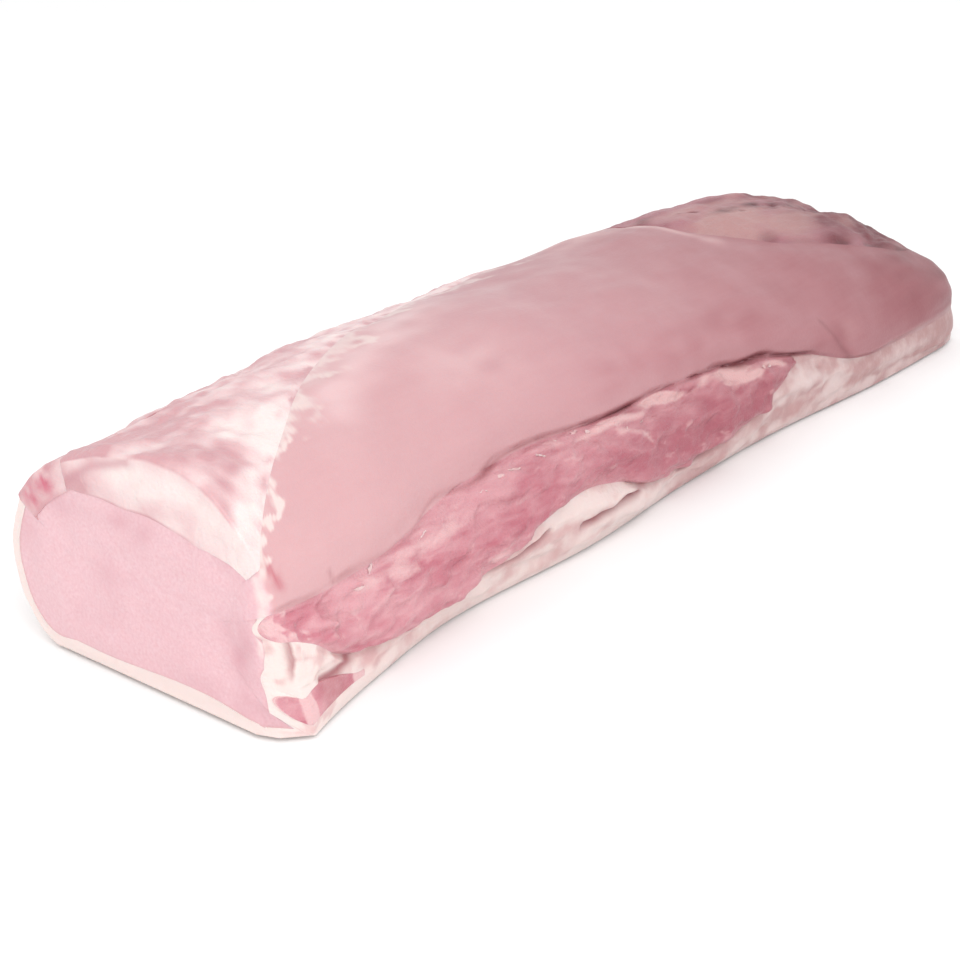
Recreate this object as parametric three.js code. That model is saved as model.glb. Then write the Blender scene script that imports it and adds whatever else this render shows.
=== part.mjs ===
// Boneless pork loin: a long D-shaped muscle, cut square across its near end and
// lying on its fat side. Millimetres, +Z up, +X along the loin away from the shown cut.
import * as THREE from 'three';

// ---- sizes of the whole piece, in drawing units of 0.92 mm ----
const UNIT = 0.92;             // mm for one drawing unit: the loin is 512 units, 471 mm long
const LENGTH = 512;            // near cut to far end
const SIDE_Z = 25;             // height where the front side turns into the dome
const GAP = 0.36;              // clearance between one tissue and the next
const SEAM = 0.18;             // half the clearance along the surface at a boundary
const SEPTUM = 2.4;            // pale sheet of fat between the side muscle and the eye
const P_FRONT = 1.9, P_BACK = 2.0;  // how square the two halves of the dome are

// ---- where each tissue starts and ends along the loin ----
const CHAIN_END = 352;         // the red side muscle runs out
const COVER_END = 284;         // the top fat and the shoulder strip feather out
const FLAP_START = 360;        // the far flap begins, at the back shoulder
const CORNER_END = 42;         // the small oval muscle in the near bottom corner
const CORNER_BULGE = 12;       // how far the near front corner of the cut curves back
const FAR_REACH = 12;          // how far the drawn-out far end goes on past its last station

// ---- profiles along the loin: [distance from the near cut, value] ----
const along = (...p) => x => {                       // smooth curve through the pairs
  const n = p.length;
  const slope = k => {
    const a = Math.max(k - 1, 0), b = Math.min(k + 1, n - 1);
    return (p[b][1] - p[a][1]) / (p[b][0] - p[a][0]);
  };
  let k = 0;
  while (k < n - 2 && x >= p[k + 1][0]) k++;
  const h = p[k + 1][0] - p[k][0], t = Math.min(Math.max((x - p[k][0]) / h, 0), 1);
  return (1 + 2 * t) * (1 - t) ** 2 * p[k][1] + t * (1 - t) ** 2 * h * slope(k)
    + t * t * (3 - 2 * t) * p[k + 1][1] + t * t * (t - 1) * h * slope(k + 1);
};
// outline
const heelY = along([0, 0], [50, 9], [105, 16], [190, 11], [260, 14], [340, 13], [430, 5], [512, 2]);
const sideY = along([0, 2], [50, 5], [105, 9], [190, 4], [260, 7], [340, 6], [430, 3], [512, 2]);
const crestY = along([0, 50], [100, 68], [200, 82], [300, 88], [400, 92], [512, 98]);
const crestZ = along([0, 90], [100, 89], [200, 86], [300, 83], [400, 80], [448, 77], [478, 69.5], [498, 60], [512, 57.5]);
const backY = along([0, 136], [60, 138], [130, 149], [220, 157], [320, 154], [420, 158], [512, 152]);
const backZ = along([0, 32], [200, 40], [400, 36], [512, 28]);
const tuckY = along([0, 114], [200, 134], [400, 134], [512, 128]);
// boundaries between tissues
const creaseZ = along([0, 49], [30, 46.5], [70, 47], [112, 53.5], [160, 56.5], [215, 52.5], [270, 50], [320, 44.5], [365, 34], [402, 22], [440, 19], [512, 19]);
const lipZ = along([0, 38], [14, 31], [28, 21], [40, 15.5], [65, 11.5], [95, 12], [118, 17.5], [145, 26], [178, 30], [200, 26], [225, 17.5], [268, 14.5], [300, 17], [325, 24.5], [352, 32], [385, 24], [405, 15], [440, 10], [512, 10]);
const cornerLowZ = along([0, 5], [10, 8], [24, 9], [42, 7.5], [65, 3], [512, 1]);
const cornerHighZ = along([0, 16], [10, 17.5], [24, 15], [42, 9.8], [65, 8], [512, 3]);
const topFatY = along([0, 12], [50, 46], [100, 78], [150, 98], [200, 114], [250, 124], [300, 128], [350, 129]);
const flapY = along([350, 129], [358, 112], [367, 88], [380, 72], [394, 61], [408, 51], [424, 45.5], [443, 40.5], [463, 35], [485, 31], [512, 31]);
const flankY = along([0, 104], [60, 106], [120, 120], [180, 128], [250, 134], [300, 136], [512, 136]);
const flankLowZ = along([0, 56], [150, 58], [284, 66], [340, 60], [440, 55], [478, 49], [512, 40]);
// thicknesses
const topFatDepth = along([0, 20], [60, 15], [120, 10], [200, 6.5], [284, 2.6], [290, 2.6]);
const flapDepth = along([FLAP_START, 3], [440, 9], [512, 11]);
const chainDepth = along([0, 7.5], [60, 12], [150, 18], [300, 17], [352, 5]);

// ---- the outline of a cross-section, by a position s that runs from the heel (0) up
// the front side (1), over the crest (2), down the back (3) to the tuck (4) and home (5)
const power = (v, p) => Math.pow(Math.max(v, 0), p);
function outline(x, s) {
  if (s < 0) s += 5;
  const q = Math.PI / 2;
  if (s < 1) return [sideY(x) + (heelY(x) - sideY(x)) * (1 - s) ** 2, SIDE_Z * s];
  if (s < 2) {
    const t = (s - 1) * q;
    return [crestY(x) - (crestY(x) - sideY(x)) * power(Math.cos(t), 2 / P_FRONT),
      SIDE_Z + (crestZ(x) - SIDE_Z) * power(Math.sin(t), 2 / P_FRONT)];
  }
  if (s < 3) {
    const t = (s - 2) * q;
    return [crestY(x) + (backY(x) - crestY(x)) * power(Math.sin(t), 2 / P_BACK),
      backZ(x) + (crestZ(x) - backZ(x)) * power(Math.cos(t), 2 / P_BACK)];
  }
  if (s < 4) {
    const t = (s - 3) * q;
    return [tuckY(x) + (backY(x) - tuckY(x)) * Math.cos(t), backZ(x) * (1 - Math.sin(t))];
  }
  return [tuckY(x) + (heelY(x) - tuckY(x)) * (s - 4), 0];
}
// the position s of a point on the front side at height z, on the dome at y, on the back at z
const atFrontZ = (x, z) => z < SIDE_Z ? z / SIDE_Z
  : 1 + Math.asin(power((z - SIDE_Z) / (crestZ(x) - SIDE_Z), P_FRONT / 2)) * 2 / Math.PI;
const atTopY = (x, y) => y < crestY(x)
  ? 1 + Math.acos(Math.min(power((crestY(x) - y) / (crestY(x) - sideY(x)), P_FRONT / 2), 1)) * 2 / Math.PI
  : 2 + Math.asin(power((y - crestY(x)) / (backY(x) - crestY(x)), P_BACK / 2)) * 2 / Math.PI;
const atBackZ = (x, z) => 2 + Math.acos(power((z - backZ(x)) / (crestZ(x) - backZ(x)), P_BACK / 2)) * 2 / Math.PI;

// landmarks round the section, from the heel to the back
const cornerLow = x => cornerLowZ(x) / SIDE_Z, cornerHigh = x => cornerHighZ(x) / SIDE_Z;
const lip = x => atFrontZ(x, lipZ(x));
const crease = x => atFrontZ(x, creaseZ(x));
const topEdge = x => atTopY(x, x < 350 ? topFatY(x) : flapY(x));
const shoulder = x => atTopY(x, flankY(x));
const shoulderLow = x => atBackZ(x, flankLowZ(x));

const inLoin = s => s < 0 ? s + 5 : s;

// ---- relief of the surface, outward in mm ----
const bump = d => Math.exp(-d * d);
function relief(x, s, z) {
  if (s < 0) s += 5;
  if (s >= 4) return 0;
  const len = s < 2 ? 62 : 70;                     // rough mm of surface for one unit of s
  const dCrease = (s - crease(x)) * len, dLip = (s - lip(x)) * len;
  let r = 0;
  const groove = along([0, 1.5], [40, 3], [130, 5], [340, 5], [440, 2], [512, 0.5])(x);
  r -= groove * bump(dCrease / 7);
  if (x < CHAIN_END + 20) {
    const v = (s - lip(x)) / (crease(x) - lip(x));
    if (v > 0 && v < 1) r += 3 * Math.sin(Math.PI * v) * Math.min(x / 60, 1) * Math.min((CHAIN_END + 20 - x) / 50, 1);
    r -= 2.2 * bump(dLip / 3.5) * Math.min(x / 30, 1);
  }
  if (x > 355) r -= 1.8 * Math.min((x - 355) / 30, 1) * bump((s - topEdge(x)) * len / 5);
  if (x < 310) {                                    // the top fat stands a little proud
    const d = (s - topEdge(x)) * len;
    if (s < shoulderLow(x)) r += 1.2 * (1 - x / 310) / (1 + Math.exp(-d / 3));
  }
  r += 0.9 * Math.sin(x / 17 + 3 * s) * Math.sin(x / 29 + 1.3 - 2 * s) + 0.7 * Math.sin(x / 41 + 5 * s);
  return r * Math.min(z / 12, 1);
}

// ---- the underside: it bears on a flat middle and on four spots near the corners,
// and its rims and hollows stand clear of the table ----
const CLEAR = 1.5, SPOTS = [[12, 0.06], [12, 0.94], [500, 0.06], [500, 0.94]];
const BASE = [-1, -0.94, -0.8, -0.6, -0.4, -0.2, -0.06, 0];
function clearance(x, s, z) {
  const u = s < 1 ? 1 : Math.max(s - 4, 0), width = tuckY(x) - heelY(x);
  const middle = Math.hypot(Math.max(136 - x, 0, x - 360), Math.max(Math.abs(u - 0.5) - 0.1, 0) * width);
  const near = Math.min(middle, ...SPOTS.map(([sx, su]) => Math.hypot(x - sx, (u - su) * width)));
  return near < 0.01 ? 0 : CLEAR * Math.min(near / 7, 1) * Math.max(1 - z / 12, 0);
}

// ---- a point of the section at depth mm under its surface, measured towards a
// flat core line, so that layers never cross ----
function at(x, s, depth) {
  const [y, flat] = outline(x, s), z = flat + clearance(x, inLoin(s), flat);
  const cy = Math.min(Math.max(y, sideY(x) + 36), backY(x) - 40), cz = 0.4 * crestZ(x);
  const dy = cy - y, dz = cz - z, len = Math.hypot(dy, dz);
  const d = depth - relief(x, s, z);
  return [y + dy / len * d, Math.max(z + dz / len * d, depth > 0 ? 0.5 : 0)];
}
const perMm = (x, s) => {                           // s for one mm along the surface
  const e = 0.004, a = outline(x, s - e), b = outline(x, s + e);
  return 2 * e / Math.hypot(b[0] - a[0], b[1] - a[1]);
};

// ---- thickness of each layer ----
const lens = (v, p) => Math.pow(Math.max(Math.sin(Math.PI * Math.min(Math.max(v, 0), 1)), 0), p);
const share = (s, a, b) => (s - a) / (b - a);
const chainThick = (x, s) => 1.8 + (chainDepth(x) - 1.8) * lens(share(s, lip(x), crease(x)), 0.6);
const cornerThick = (x, s) => 1.4 + (8 * (1 - x / CORNER_END) + 0.6) * lens(share(s, cornerLow(x), cornerHigh(x)), 0.6);
function topThick(x, s) {                           // top fat and shoulder strip, or the far flap
  if (x > FLAP_START - 0.01) return 2 + (flapDepth(x) - 2) * lens(share(s, topEdge(x), shoulderLow(x)), 0.5);
  if (x > COVER_END + 0.01) return -GAP;            // nothing over the eye here
  const v = Math.min(Math.max(share(s, topEdge(x), shoulderLow(x)), 0), 1);
  const k = topFatDepth(x) / 20;
  return Math.max(k * (7 + 6 * Math.min(v / 0.3, 1) - 2 * v + 11.5 * lens(v / 0.75, 1)), 1.6);
}
function fatThick(x, s) {                           // fat under and beside the eye
  const m = s > 4 ? s - 5 : s;
  if (m >= -1 && m <= 0) return 5.5 + 2 * Math.sin(x / 60 + 4 * m) ** 2;
  if (m > 0 && m < 2) {
    const under = m > lip(x) && x < CHAIN_END + 0.01 ? chainThick(x, m) + GAP + SEPTUM : 0;
    return Math.max(under, (7 + 6.5 * Math.max(1 - x / 60, 0)) * (1 - 0.5 * Math.min(m / Math.max(crease(x), 0.2), 1) ** 2));
  }
  return 4 + 1.5 * Math.min(share(s, shoulderLow(x), 4), 1);
}

// ---- solids: each is a stack of sections, one at each station along the loin ----
const spans = [[0, 1], [4, 1], [12, 2], [CORNER_END, 6], [136, 9], [COVER_END, 1], [295, 3], [CHAIN_END, 1],
  [FLAP_START, 6], [405, 3], [450, 2], [490, 1], [500, 1], [507, 1], [LENGTH, 0]];
const stations = spans.flatMap(([x, n], k) => Array.from({ length: n || 1 },
  (_, i) => n ? x + (spans[k + 1][0] - x) * i / n : x));

// the near front corner of the cut curves back, and both ends are eased
const trim = along([0, 0.012], [3, 0], [490, 0], [500, 0.01], [507, 0.035], [512, 0.08]);
function place(x, [y, z]) {
  const k = 1 - trim(x), c = x < 250 ? 62 : 78, far = FAR_REACH * Math.max((x - 440) / 72, 0) ** 2;
  const bend = CORNER_BULGE * Math.max(1 - y / 16, 0) ** 2 * Math.max(1 - x / 80, 0) / (y < 0 ? 1 - y / 8 : 1);
  return [UNIT * (x + bend + far), UNIT * (c + (y - c) * k), UNIT * z * k];
}
// a closed solid from equal rings; caps are strips for layers, ear-cut for a full section
function stack(rings, layer) {
  const n = rings[0].length, pos = rings.flat(2), idx = [];
  const id = (i, j) => i * n + (j + n) % n;
  // a layer's inner face is split along the same diagonals as the solid it lies on
  for (let i = 0; i + 1 < rings.length; i++) for (let j = 0; j < n; j++) {
    const a = id(i, j), b = id(i, j + 1), c = id(i + 1, j), d = id(i + 1, j + 1);
    idx.push(...(layer && j >= n / 2 ? [a, c, b, b, c, d] : [a, d, b, a, c, d]));
  }
  for (const end of [0, rings.length - 1]) {
    let tris = [];
    if (layer) for (let j = 0; j + 1 < n / 2; j++)
      tris.push([j, n - 1 - j, n - 2 - j], [j, n - 2 - j, j + 1]);
    else tris = THREE.ShapeUtils.triangulateShape(rings[end].map(p => new THREE.Vector2(p[1], p[2])), []);
    for (const [a, b, c] of tris) {
      const P = rings[end], area = (P[b][1] - P[a][1]) * (P[c][2] - P[a][2]) - (P[c][1] - P[a][1]) * (P[b][2] - P[a][2]);
      const flip = layer ? end === 0 : (area > 0) === (end === 0);
      idx.push(...(flip ? [id(end, a), id(end, c), id(end, b)] : [id(end, a), id(end, b), id(end, c)]));
    }
  }
  const g = new THREE.BufferGeometry();
  g.setAttribute('position', new THREE.Float32BufferAttribute(pos, 3));
  g.setIndex(idx);
  return g;
}
const split = (a, b, n) => Array.from({ length: n + 1 }, (_, i) => a + (b - a) * i / n);

// positions of the section's points over each stretch of the surface, the same for
// every solid that borders it
const seam = (x, s) => SEAM * perMm(x, s);
const topSamples = (x, from, to) => {
  const t = topEdge(x), h = shoulder(x), b = shoulderLow(x), e = seam(x, h);
  return from === 0 && to === 2 ? [...split(t + seam(x, t), h, 8), ...split(h, b - seam(x, b), 5).slice(1)]
    : to === 1 ? split(t + seam(x, t), h - e, 8) : split(h + e, b - seam(x, b), 5);
};
const sideSamples = x => split(lip(x) + seam(x, lip(x)), crease(x) - seam(x, crease(x)), 7);
const cornerSamples = x => split(cornerLow(x) + seam(x, 0.1), cornerHigh(x) - seam(x, 0.7), 3);
function fatSamples(x) {                            // [position, the pocket it is in]
  const e = seam(x, 0.5), kl = cornerLow(x), kh = cornerHigh(x), b = shoulderLow(x) - 5;
  const l = seam(x, lip(x)), l0 = lip(x) - 3 * l, tag = (list, pocket) => list.map(s => [s, pocket]);
  return [...tag([...split(b + seam(x, b + 5), -1, 5), ...BASE.slice(1), kl - 3 * e], ''),
    ...tag([kl - e, ...cornerSamples(x), kh + e], 'corner'), ...tag([kh + 3 * e, l0], ''),
    ...tag([lip(x) - l, ...sideSamples(x)], 'side')];
}

// a layer with the given positions, between two depths, over stations x0..x1
function layer(x0, x1, samples, thick) {
  return stack(stations.filter(x => x >= x0 - 0.01 && x <= x1 + 0.01).map(x => {
    const s = samples(x);
    return [...s.map(v => place(x, at(x, v, 0))), ...s.reverse().map(v => place(x, at(x, v, thick(x, v))))];
  }), true);
}
// top fat, shoulder strip, far flap, side muscle and corner muscle lie in the surface
const topFat = layer(0, COVER_END, x => topSamples(x, 0, 1), topThick);
const flank = layer(0, COVER_END, x => topSamples(x, 1, 2), topThick);
const flap = layer(FLAP_START, LENGTH, x => topSamples(x, 0, 2), topThick);
const chain = layer(0, CHAIN_END, sideSamples, chainThick);
const corner = layer(0, CORNER_END, cornerSamples, cornerThick);

// the fat cap: from the back, under the eye, up the front to the crease, with
// pockets for the corner muscle and the side muscle
const fatCap = stack(stations.map(x => {
  const s = fatSamples(x);
  const pocket = ([v, in_]) => in_ === 'corner' && x <= CORNER_END + 0.01 ? cornerThick(x, v) + GAP
    : in_ === 'side' && x <= CHAIN_END + 0.01 ? chainThick(x, v) + GAP : 0;
  return [...s.map(v => place(x, at(x, v[0], pocket(v)))),
    ...s.reverse().map(([v]) => place(x, at(x, v, fatThick(x, inLoin(v)))))];
}), true);

// the eye: bare between the crease and the top edge, under the layers elsewhere
const eye = stack(stations.map(x => {
  const c = crease(x), t = topEdge(x), b = shoulderLow(x), e = seam(x, c), f = seam(x, t), g = seam(x, b);
  const fat = s => fatThick(x, inLoin(s)) + GAP, top = s => topThick(x, s) + GAP;
  return [...fatSamples(x).slice(1).map(([s]) => [s, fat(s)]), [c + e, fat(c)],
    ...split(c + 3 * e, t - 3 * f, 13).map(s => [s, 0]), [t - f, top(t)],
    ...topSamples(x, 0, 2).map(s => [s, top(s)]), [b + g, fat(b + g)]].map(([s, d]) => place(x, at(x, s, d)));
}), false);

// ---- finish ----
const paint = (slot, colour, roughness) => Object.assign(
  new THREE.MeshStandardMaterial({ color: colour, roughness }), { name: slot });
const nodes = [
  ['eye_muscle', eye, paint('lean_pink', 0xe2aab2, 0.45)],
  ['chain_muscle', chain, paint('lean_red', 0xc8707c, 0.45)],
  ['fat_cap', fatCap, paint('back_fat', 0xf3e2dc, 0.5)],
  ['top_fat', topFat, paint('cover_fat', 0xf3d7d9, 0.5)],
  ['flank_muscle', flank, paint('flank_lean', 0xd88f9b, 0.5)],
  ['end_flap', flap, paint('flap_lean', 0xa97a78, 0.5)],
  ['corner_muscle', corner, paint('corner_lean', 0xc98690, 0.5)],
];
const group = new THREE.Group();
for (const [name, geometry, material] of nodes) {
  const mesh = new THREE.Mesh(geometry, material);
  mesh.name = name;
  group.add(mesh);
}
// origin: bottom centre of the whole
const box = new THREE.Box3().setFromObject(group), mid = box.getCenter(new THREE.Vector3());
for (const mesh of group.children) mesh.geometry.translate(-mid.x, -mid.y, -box.min.z);
export default group;
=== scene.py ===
"""A boneless pork loin on a white table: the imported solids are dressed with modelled
tissue in the part's own frame. Lengths along the loin (x), round its section (arc from the
heel of the front side) and depths are in drawing units of 0.92 mm, as in the solids."""
import math
import bmesh
import bpy
import numpy as np
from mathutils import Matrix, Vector


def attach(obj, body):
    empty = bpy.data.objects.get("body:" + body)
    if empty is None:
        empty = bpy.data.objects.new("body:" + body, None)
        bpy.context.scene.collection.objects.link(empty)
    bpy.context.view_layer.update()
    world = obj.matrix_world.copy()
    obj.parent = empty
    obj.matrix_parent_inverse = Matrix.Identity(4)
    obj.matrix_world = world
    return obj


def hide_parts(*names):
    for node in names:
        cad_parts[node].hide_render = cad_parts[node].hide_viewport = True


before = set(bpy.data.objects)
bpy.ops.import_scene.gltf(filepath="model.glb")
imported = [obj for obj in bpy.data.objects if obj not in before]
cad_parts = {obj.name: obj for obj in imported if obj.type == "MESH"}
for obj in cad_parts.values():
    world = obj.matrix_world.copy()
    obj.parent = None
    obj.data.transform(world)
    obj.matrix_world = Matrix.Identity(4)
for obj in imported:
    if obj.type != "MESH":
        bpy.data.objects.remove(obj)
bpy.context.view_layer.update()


# ---- the loin eye ----------------------------------------------------
# The long round muscle that makes the chop. Lean pork under a thin wet silverskin,
# bare on the top and front, and cut straight across the grain at the near end.
UNIT = 0.92                     # mm in a drawing unit
LENGTH, SIDE_Z = 512.0, 25.0    # of the loin, and height of the corner of its front side
MIDDLE = (241.04, 72.834)       # mm from the near cut and heel line to the part's origin
P_FRONT, P_BACK = 1.9, 2.0      # roundness of the dome's two quarters
CHAIN_END, COVER_END, FLAP_START, CORNER_END = 352.0, 284.0, 360.0, 42.0
OVERLAP, LEVEL = 0.5, 0.12      # hidden lap between pieces, step between their cut faces
CORE_FRONT, CORE_BACK, CORE_UP = 36, 40, 0.4    # the core line: in from the sides, and up
FRONT_ARC, BACK_ARC = 62, 70    # about the length round the section of one step of s
BEARS, SPOTS_X, SPOTS_ACROSS = (136, 360), (12, 500), (0.06, 0.94)  # what touches the table
WAVES = 22                      # in a cloud of unevenness
JUST = 1e-4                     # less than the distance between any two stations


def along(*pairs):
    """A smooth curve through (place, value) pairs."""
    xs, vs = (np.array(v, float) for v in zip(*pairs))
    last = len(xs) - 1
    slope = np.array([(vs[min(k + 1, last)] - vs[max(k - 1, 0)])
                      / (xs[min(k + 1, last)] - xs[max(k - 1, 0)]) for k in range(last + 1)])

    def curve(x):
        x = np.asarray(x, float)
        k = np.clip(np.searchsorted(xs, x, side="right") - 1, 0, last - 1)
        h = xs[k + 1] - xs[k]
        t = np.clip((x - xs[k]) / h, 0, 1)
        return ((1 + 2 * t) * (1 - t) ** 2 * vs[k] + t * (1 - t) ** 2 * h * slope[k]
                + t * t * (3 - 2 * t) * vs[k + 1] + t * t * (t - 1) * h * slope[k + 1])
    return curve


heel_y = along((0, 0), (50, 9), (105, 16), (190, 11), (260, 14), (340, 13), (430, 5), (512, 2))
side_y = along((0, 2), (50, 5), (105, 9), (190, 4), (260, 7), (340, 6), (430, 3), (512, 2))
crest_y = along((0, 50), (100, 68), (200, 82), (300, 88), (400, 92), (512, 98))
crest_z = along((0, 90), (100, 89), (200, 86), (300, 83), (400, 80), (448, 77), (478, 69.5),
                (498, 60), (512, 57.5))
back_y = along((0, 136), (60, 138), (130, 149), (220, 157), (320, 154), (420, 158), (512, 152))
back_z = along((0, 32), (200, 40), (400, 36), (512, 28))
tuck_y = along((0, 114), (200, 134), (400, 134), (512, 128))
crease_z = along((0, 49), (30, 46.5), (70, 47), (112, 53.5), (160, 56.5), (215, 52.5),
                 (270, 50), (320, 44.5), (365, 34), (402, 22), (440, 19), (512, 19))
lip_z = along((0, 38), (14, 31), (28, 21), (40, 15.5), (65, 11.5), (95, 12), (118, 17.5),
              (145, 26), (178, 30), (200, 26), (225, 17.5), (268, 14.5), (300, 17), (325, 24.5),
              (352, 32), (385, 24), (405, 15), (440, 10), (512, 10))
top_fat_y = along((0, 12), (50, 46), (100, 78), (150, 98), (200, 114), (250, 124), (300, 128),
                  (350, 129))
flap_y = along((350, 129), (358, 112), (367, 88), (380, 72), (394, 61), (408, 51),
               (424, 45.5), (443, 40.5), (463, 35), (485, 31), (512, 31))
flank_y = along((0, 104), (60, 106), (120, 120), (180, 128), (250, 134), (300, 136), (512, 136))
flank_low_z = along((0, 56), (150, 58), (284, 66), (340, 60), (440, 55), (478, 49), (512, 40))


def power(v, p):
    return np.maximum(v, 0) ** p


def outline(x, s):
    """(y, z) on the cross-section at x, with s from the heel (0) up the front side (1), over
    the crest (2), down the back (3) to the tuck (4) and home along the base (5)."""
    x, s = np.broadcast_arrays(np.asarray(x, float), np.asarray(s, float))
    hy, sy, cy, cz, by, bz, ty = (f(x) for f in (heel_y, side_y, crest_y, crest_z, back_y,
                                                 back_z, tuck_y))
    t = [np.clip(s - k, 0, 1) * math.pi / 2 for k in range(4)]
    where = [s < 1, s < 2, s < 3, s < 4]
    y = np.select(where, [
        sy + (hy - sy) * (1 - s) ** 2, cy - (cy - sy) * power(np.cos(t[1]), 2 / P_FRONT),
        cy + (by - cy) * power(np.sin(t[2]), 2 / P_BACK), ty + (by - ty) * np.cos(t[3])],
        ty + (hy - ty) * (s - 4))
    z = np.select(where, [
        SIDE_Z * s, SIDE_Z + (cz - SIDE_Z) * power(np.sin(t[1]), 2 / P_FRONT),
        bz + (cz - bz) * power(np.cos(t[2]), 2 / P_BACK), bz * (1 - np.sin(t[3]))], 0.0)
    return y, z


def at_front(x, z):
    up = power((z - SIDE_Z) / (crest_z(x) - SIDE_Z), P_FRONT / 2)
    return np.where(z < SIDE_Z, z / SIDE_Z, 1 + np.arcsin(np.clip(up, 0, 1)) * 2 / math.pi)


def at_top(x, y):
    front = power((crest_y(x) - y) / (crest_y(x) - side_y(x)), P_FRONT / 2)
    back = power((y - crest_y(x)) / (back_y(x) - crest_y(x)), P_BACK / 2)
    return np.where(y < crest_y(x), 1 + np.arccos(np.clip(front, 0, 1)) * 2 / math.pi,
                    2 + np.arcsin(np.clip(back, 0, 1)) * 2 / math.pi)


# where the tissues meet, round the section
def lip(x):
    return at_front(x, lip_z(x))


def crease(x):
    return at_front(x, crease_z(x))


def top_edge(x):
    return at_top(x, np.where(x < 350, top_fat_y(x), flap_y(x)))


def shoulder(x):
    return at_top(x, flank_y(x))


def shoulder_low(x):
    z = power((flank_low_z(x) - back_z(x)) / (crest_z(x) - back_z(x)), P_BACK / 2)
    return 2 + np.arccos(np.clip(z, 0, 1)) * 2 / math.pi


def heel(x):
    return np.zeros_like(x)


def tuck(x):
    return np.full_like(x, -1.0)


# arc length from the heel, as a table, so that marks can be placed along the surface
ARC_X, ARC_S = 128, 800         # cells of the table along the loin and round the section
_y, _z = outline(np.linspace(0, LENGTH, ARC_X + 1)[:, None], np.linspace(0, 4, ARC_S + 1)[None, :])
ARCS = np.pad(np.cumsum(np.hypot(np.diff(_y), np.diff(_z)), 1), ((0, 0), (1, 0)))


def arc(x, s):
    """Length round the section from the heel to s."""
    fx = np.clip(x / LENGTH * ARC_X, 0, ARC_X - 0.001)
    fs = np.clip(np.where(s > 4, 0, s) * (ARC_S / 4), 0, ARC_S - 0.001)
    i, j = fx.astype(int), fs.astype(int)
    fx, fs = fx - i, fs - j
    return ((ARCS[i, j] * (1 - fs) + ARCS[i, j + 1] * fs) * (1 - fx)
            + (ARCS[i + 1, j] * (1 - fs) + ARCS[i + 1, j + 1] * fs) * fx)


def cloud(p, size, seed, stretch=1.0):
    """Smooth random unevenness of about one, with lumps of that size, drawn out along x."""
    draw = np.random.default_rng(seed)
    total = np.zeros(p.shape[:-1])
    for _ in range(WAVES):
        d = draw.normal(size=3)
        d *= 2 * math.pi / size * draw.uniform(0.45, 1.3) / np.linalg.norm(d)
        total += np.cos(p @ (d / np.array((stretch, 1, 1))) + draw.uniform(0, 2 * math.pi))
    return total / math.sqrt(WAVES / 2)


def bump(d):
    """1 at 0, fading to nothing at 2."""
    return np.exp(-d * d)


def step(v, low, high):
    """A soft step, from 0 at low to 1 at high."""
    t = np.clip((v - low) / (high - low), 0, 1)
    return t * t * (3 - 2 * t)


def streak(x, a, width, *line):
    """Closeness to a broken line of points, 1 on it and 0 away from it."""
    near = np.full(np.broadcast(x, a).shape, 1e9)
    for (x0, a0), (x1, a1) in zip(line, line[1:]):
        dx, da = x1 - x0, a1 - a0
        t = np.clip(((x - x0) * dx + (a - a0) * da) / (dx * dx + da * da), 0, 1)
        near = np.minimum(near, np.hypot(x - x0 - t * dx, a - a0 - t * da))
    return bump(near / width)


def spots(x, a, *places):
    """Closeness to soft ovals given as (x, arc, half length, half width)."""
    return np.max([bump(np.hypot((x - x0) / w, (a - a0) / h)) for x0, a0, w, h in places], 0)


OPEN = along((0, 0.25), (60, 0.3), (104, 0.3), (125, 0.5), (170, 0.6), (188, 0.4), (200, 1.0),
             (236, 0.9), (258, 0.4), (280, 0.9), (330, 1.0), (354, 0.8), (376, 0.3), (405, 0))


def crease_split(x, a, p):
    """The split under the rounded edge of the eye, open in some places. It is carved in, and where
    a mask paints it dark that darkness is painted shade.
    """
    d = a - arc(x, crease(x)) - 0.5 + 0.8 * cloud(p, 20, 12, 2)
    return OPEN(x) * bump(d / 1.2) * np.clip(1 + 0.35 * cloud(p, 10, 11, 1.5), 0.2, 1.4)


def relief(x, s, z, p):
    """How far the surface stands out: the solids' own relief with finer waves, the split and
    the raised edge above it. Each piece adds what is its own."""
    a = arc(x, s)
    reach = np.where(s < 2, FRONT_ARC, BACK_ARC)
    d_crease, d_lip, d_top = ((s - f(x)) * reach for f in (crease, lip, top_edge))
    groove = along((0, 1.5), (40, 3), (130, 5), (340, 5), (440, 2), (512, 0.5))(x)
    r = -groove * bump(d_crease / 7)
    v = np.clip((s - lip(x)) / (crease(x) - lip(x)), 0, 1)
    left = CHAIN_END + 20 - x
    r = r + (left > 0) * (3 * np.sin(math.pi * v) * np.minimum(x / 60, 1)
                          * np.clip(left / 50, 0, 1)
                          - 2.2 * bump(d_lip / 3.5) * np.minimum(x / 30, 1))
    r = r - 1.8 * np.clip((x - 355) / 30, 0, 1) * bump(d_top / 5)
    r = r + ((x < 310) & (s < shoulder_low(x))) * 1.2 * (1 - x / 310) / (
        1 + np.exp(np.clip(-d_top / 3, -40, 40)))
    r = r + 0.9 * np.sin(x / 17 + 3 * s) * np.sin(x / 29 + 1.3 - 2 * s) + 0.7 * np.sin(
        x / 41 + 5 * s)
    r = r - 2.2 * crease_split(x, a, p) + 0.8 * bump((d_crease - 7) / 4) * groove / 5
    r = r + 0.35 * cloud(p, 30, 61, 3) + 0.1 * cloud(p, 9, 62, 4)
    return np.where(s >= 4, 0, r * np.minimum(z / 12, 1))


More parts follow.
